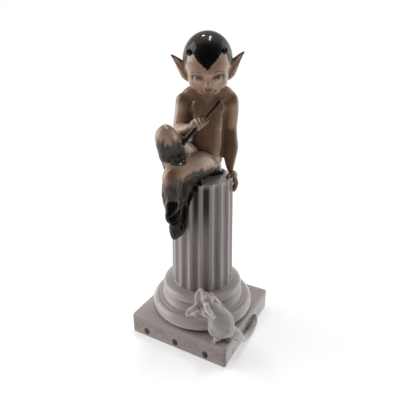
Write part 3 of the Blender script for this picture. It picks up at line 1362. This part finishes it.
def make_lizard(finish):
    """A small lizard that rears with its jaws wide open, its tail round the plinth's corner."""
    rough = bmesh.new()
    body = [
        ((0.6, 0.2, 4.8), 7.0, 6.4),
        ((0.0, 0.0, 9), 8.8, 7.6),
        ((-2.2, -1.0, 16), 8.7, 7.4),
        ((-5.8, -2.4, 22.5), 5.8, 5.8),
        ((-10.4, -3.4, 28.0), 4.4, 4.4),
    ]
    limb(rough, body, across=LIZARD_BREADTH, blunt=2, rows=40)
    ball(rough, (0.2, 0.0, 8.6), (8.0, 7.8, 7.0))
    ball(rough, (4.2, 3.6, 4.6), (5.4, 5.0, 4.8))
    ball(rough, (-4.6, -4.8, 9.2), (4.2, 4.0, 5.6))
    ball(rough, (-11.6, -2.8, 29.6), (4.6, 4.8, 4.6))
    ball(rough, (-10.2, -5.6, 21.6), (3.8, 4.0, 3.8))
    upper_jaw = [((-13.4, -4.2, 25.5), 6.0, 2.8), ((-14.8, -4.2, 32), 5.0, 2.2), ((-15.9, -3.5, 38.4), 1.1)]
    limb(rough, upper_jaw, across=UPPER_GAPE)
    lower_jaw = [((-13, -5.4, 24.6), 5.0, 2.6), ((-19.2, -7.8, 20.8), 3.6, 2.0), ((-25.0, -9.2, 15.6), 1.45)]
    limb(rough, lower_jaw, across=LOWER_GAPE)
    edge = LIZARD_CORNER_GAP
    tail = [
        ((3.0, 3.5, 5.5), 4.6),
        ((edge - 0.8, 4.6, 3.8), 4.2),
        ((edge + 0.8, 8.5, -1.2), 3.4),
        ((edge + 1.4, 14.5, -8.6), 2.9),
        ((edge + 1.6, 23, -12.9), 2.9),
        ((edge + 1.4, 33, -13.7), 2.9),
        ((edge + 1.1, 40.5, -11.6), 2.6),
        ((edge + 0.6, 44.0, -7.4), 1.8),
    ]
    limb(rough, tail, rows=70)
    fine = bmesh.new()
    for arm in (NEAR_ARM, FAR_ARM):
        limb(fine, arm, sides=14, rows=26)
        wrist, hand = Vector(arm[2][0]), Vector(arm[3][0])
        ahead = (hand - wrist).normalized()
        for i in range(3):
            spread = ahead.cross(Vector((0, -1, 0.3))).normalized() * (i - 1) * 1.1
            claw = [(hand + spread * 0.6, 0.75), (hand + ahead * 2.2 + spread * 1.7, 0.5)]
            limb(fine, claw, sides=10, rows=10)
    for x, y in ((-2.4, -4.6), (6.2, 2.0)):
        foot = [((x + 1, y + 1.6, 3.0), 3.0), ((x - 0.3, y - 0.8, 1.3), 2.2), ((x - 1.0, y - 2.4, 0.9), 1.5)]
        limb(fine, foot, sides=16, rows=20)
        for i in range(3):
            toe = Vector((x - 1.0 + (i - 1) * 1.3, y - 2.6, 0.7))
            toe_tip = toe + Vector(((i - 1) * 0.5, -1.4, -0.2))
            limb(fine, [(toe, 0.8), (toe_tip, 0.5)], sides=10, rows=10)
    ball(fine, (-10.4, -4.4, 33.8), (1.7, 1.6, 1.7))
    ball(fine, (-9.4, 0.2, 32.8), (1.7, 1.6, 1.7))
    ball(fine, (-15.8, -10.2, 20.8), (1.5, 1.5, 1.5))
    fine.from_mesh(one_skin(rough, 0.5, 8))
    clay = Clay(one_skin(fine, LIZARD_GRAIN, 3))
    palate = [(-14.4, -6.8, 26.5), (-14.9, -6.2, 31.0), (-15.6, -4.8, 35.5)]
    tongue = [(-14.5, -7.6, 25.0), (-19.0, -9.6, 21.6), (-20.8, -10.0, 20.0)]
    for _ in range(2):
        clay.ridge(palate, 1.9, -0.9, None, (0, -1, 0))
        clay.ridge(tongue, 1.6, -0.8, None, (0.44, -0.74, 0.38))
        clay.settle()
    clay.ridge([(-5.6, -9.4, 19), (-3.6, -9.6, 12), (-3.0, -9.0, 6)], 0.7, -0.3)
    clay.ridge([(0.2, 5.5, 20), (4.6, 6.4, 15), (6.8, 6.6, 9)], 0.6, 0.35)
    clay.settle()
    at = clay.at
    scales = cloud(at, 0.9, 3)
    clay.shift += clay.out * (0.06 * scales + 0.3 * cloud(at, 3.2, 8) + 0.5 * cloud(at, 8.0, 15))[:, None]
    clay.settle()
    mesh = thinned(clay.mesh)
    at = points_of(mesh)
    mouth = dab(at, [(-14.6, -7.0, 27.5), (-14.6, -7.6, 24.5)], 1.6, 3.4)
    thin = 1.4 * sum(dab(at, [joint for joint, _ in arm], 1.9, 1.6) for arm in (NEAR_ARM, FAR_ARM))
    thin += 0.4 * dab(at, [(-14.8, -4.2, 32), (-15.9, -3.5, 38)], 2.0, 5.0)
    thin += 0.7 * dab(at, [(-3.2, -7.2, 1.2), (5.2, -0.6, 1.2)], 2.4, 1.6)
    paint(mesh, "thin", thin * (1 - mouth))
    paint(mesh, "dry", np.full(len(at), 0.4))
    paint(mesh, "pool", 0.8 * mouth)
    corner = PLINTH_SIDE / 2 - LIZARD_CORNER_GAP
    place = Matrix.Translation((corner, LIZARD_CORNER_SHIFT - corner, PLINTH_HEIGHT))
    add_piece("lizard", mesh, place, finish)


# Stage

PAPER = (0.93, 0.93, 0.93, 1)
PAPER_GLOW = (0.42, 0.42, 0.42, 1)
PAPER_EVEN_FROM = 0.10
PAPER_EVEN_BY = 0.45
SKY_BEHIND = 1.1
SKY_IN_FRONT = 0.02
SKY_DIM_OVERHEAD = 0.70


def pale_paper():
    """White paper that glows evenly far from the object, so that no horizon shows."""
    material = bpy.data.materials.new("pale_paper")
    material.use_nodes = True
    nodes = Nodes(material)
    x, y, _ = nodes.parts(nodes.place())
    far = (x * x + y * y).math("SQRT").rise(PAPER_EVEN_FROM, PAPER_EVEN_BY)
    shader = material.node_tree.nodes["Principled BSDF"]
    link = material.node_tree.links.new
    link(nodes.mix(far, PAPER, (0, 0, 0, 1)).socket, shader.inputs["Base Color"])
    link(nodes.mix(far, PAPER_GLOW, (1, 1, 1, 1)).socket, shader.inputs["Emission Color"])
    shader.inputs["Emission Strength"].default_value = 1.0
    shader.inputs["Roughness"].default_value = 0.8
    shader.inputs["Specular IOR Level"].default_value = 0.1
    return material


def make_floor():
    """A wide round of paper, which the glaze doesn't mirror."""
    bm = bmesh.new()
    bmesh.ops.create_circle(bm, cap_ends=True, segments=96, radius=6.0)
    mesh = mesh_of(bm, "floor")
    mesh.materials.append(pale_paper())
    floor = bpy.data.objects.new("floor", mesh)
    bpy.context.scene.collection.objects.link(floor)
    floor.visible_glossy = False


def add_light(name, place, aim, size, watts, roll=0):
    """A rectangular lamp that faces a point, turned about its own beam by `roll`."""
    lamp = bpy.data.lights.new(name, "AREA")
    lamp.shape = "RECTANGLE"
    lamp.size, lamp.size_y = size
    lamp.energy = watts
    light = bpy.data.objects.new(name, lamp)
    light.location = place
    turn = (Vector(place) - Vector(aim)).to_track_quat("Z", "Y") @ Quaternion((0, 0, 1), roll)
    light.rotation_euler = turn.to_euler()
    bpy.context.scene.collection.objects.link(light)


def round_the_camera(sideways, towards, height):
    """A place given from the object: to the picture's right, towards the camera, and up."""
    a = CAMERA_AZIMUTH
    return (sideways * cos(a) + towards * sin(a), sideways * sin(a) - towards * cos(a), height)


def light_scene():
    """A white surround that is bright behind the object and dim in front, two softboxes and two lamps."""
    scene = bpy.context.scene
    world = bpy.data.worlds.new("studio")
    world.use_nodes = True
    nodes = Nodes(world)
    a = CAMERA_AZIMUTH
    x, y, z = nodes.parts(nodes.add("ShaderNodeTexCoord", output="Generated"))
    towards = x * sin(a) - y * cos(a)
    bright = towards.rise(0.75, -0.25) * (1 - z.rise(0.10, 0.60) * SKY_DIM_OVERHEAD)
    tent = nodes.mix(bright, (SKY_IN_FRONT,) * 3 + (1,), (SKY_BEHIND,) * 3 + (1,))
    seen = nodes.add("ShaderNodeLightPath", output="Is Camera Ray")
    shown = nodes.mix(seen, tent, (1, 1, 1, 1))
    world.node_tree.links.new(shown.socket, world.node_tree.nodes["Background"].inputs["Color"])
    scene.world = world
    scene.view_settings.view_transform = "Standard"
    middle = (0, 0, 0.12)
    add_light("left_softbox", round_the_camera(-0.75, -0.10, 0.45), middle, (0.6, 0.8), 3.5)
    add_light("right_softbox", round_the_camera(0.75, -0.25, 0.40), middle, (0.6, 0.8), 1.35)
    add_light("high_lamp_left", round_the_camera(-0.16, -0.40, 1.00), middle, (0.09, 0.09), 0.9)
    add_light("high_lamp_right", round_the_camera(0.12, -0.14, 1.08), middle, (0.10, 0.36), 2.0, radians(35))


def make_camera():
    """A camera at the photograph's distance and angle."""
    target = Vector(CAMERA_TARGET)
    a, e = CAMERA_AZIMUTH, CAMERA_ELEVATION
    back = Vector((sin(a) * cos(e), -cos(a) * cos(e), sin(e)))
    data = bpy.data.cameras.new("camera")
    data.sensor_width = 36.0
    data.lens = CAMERA_LENS
    data.clip_start = 0.01
    data.clip_end = 50
    camera = bpy.data.objects.new("camera", data)
    camera.location = target + back * CAMERA_DISTANCE
    camera.rotation_euler = back.to_track_quat("Z", "Y").to_euler()
    bpy.context.scene.collection.objects.link(camera)
    bpy.context.scene.camera = camera


make_camera()
light_scene()
make_floor()
white = glaze("white_glaze", pooled_body)
faun = glaze("faun_glaze", faun_colours)
make_plinth()
make_base(white)
make_shaft(white)
make_upper(faun)
make_legs(faun)
make_flute(glaze("flute_glaze", flute_colour))
make_lizard(white)

bpy.context.view_layer.update()
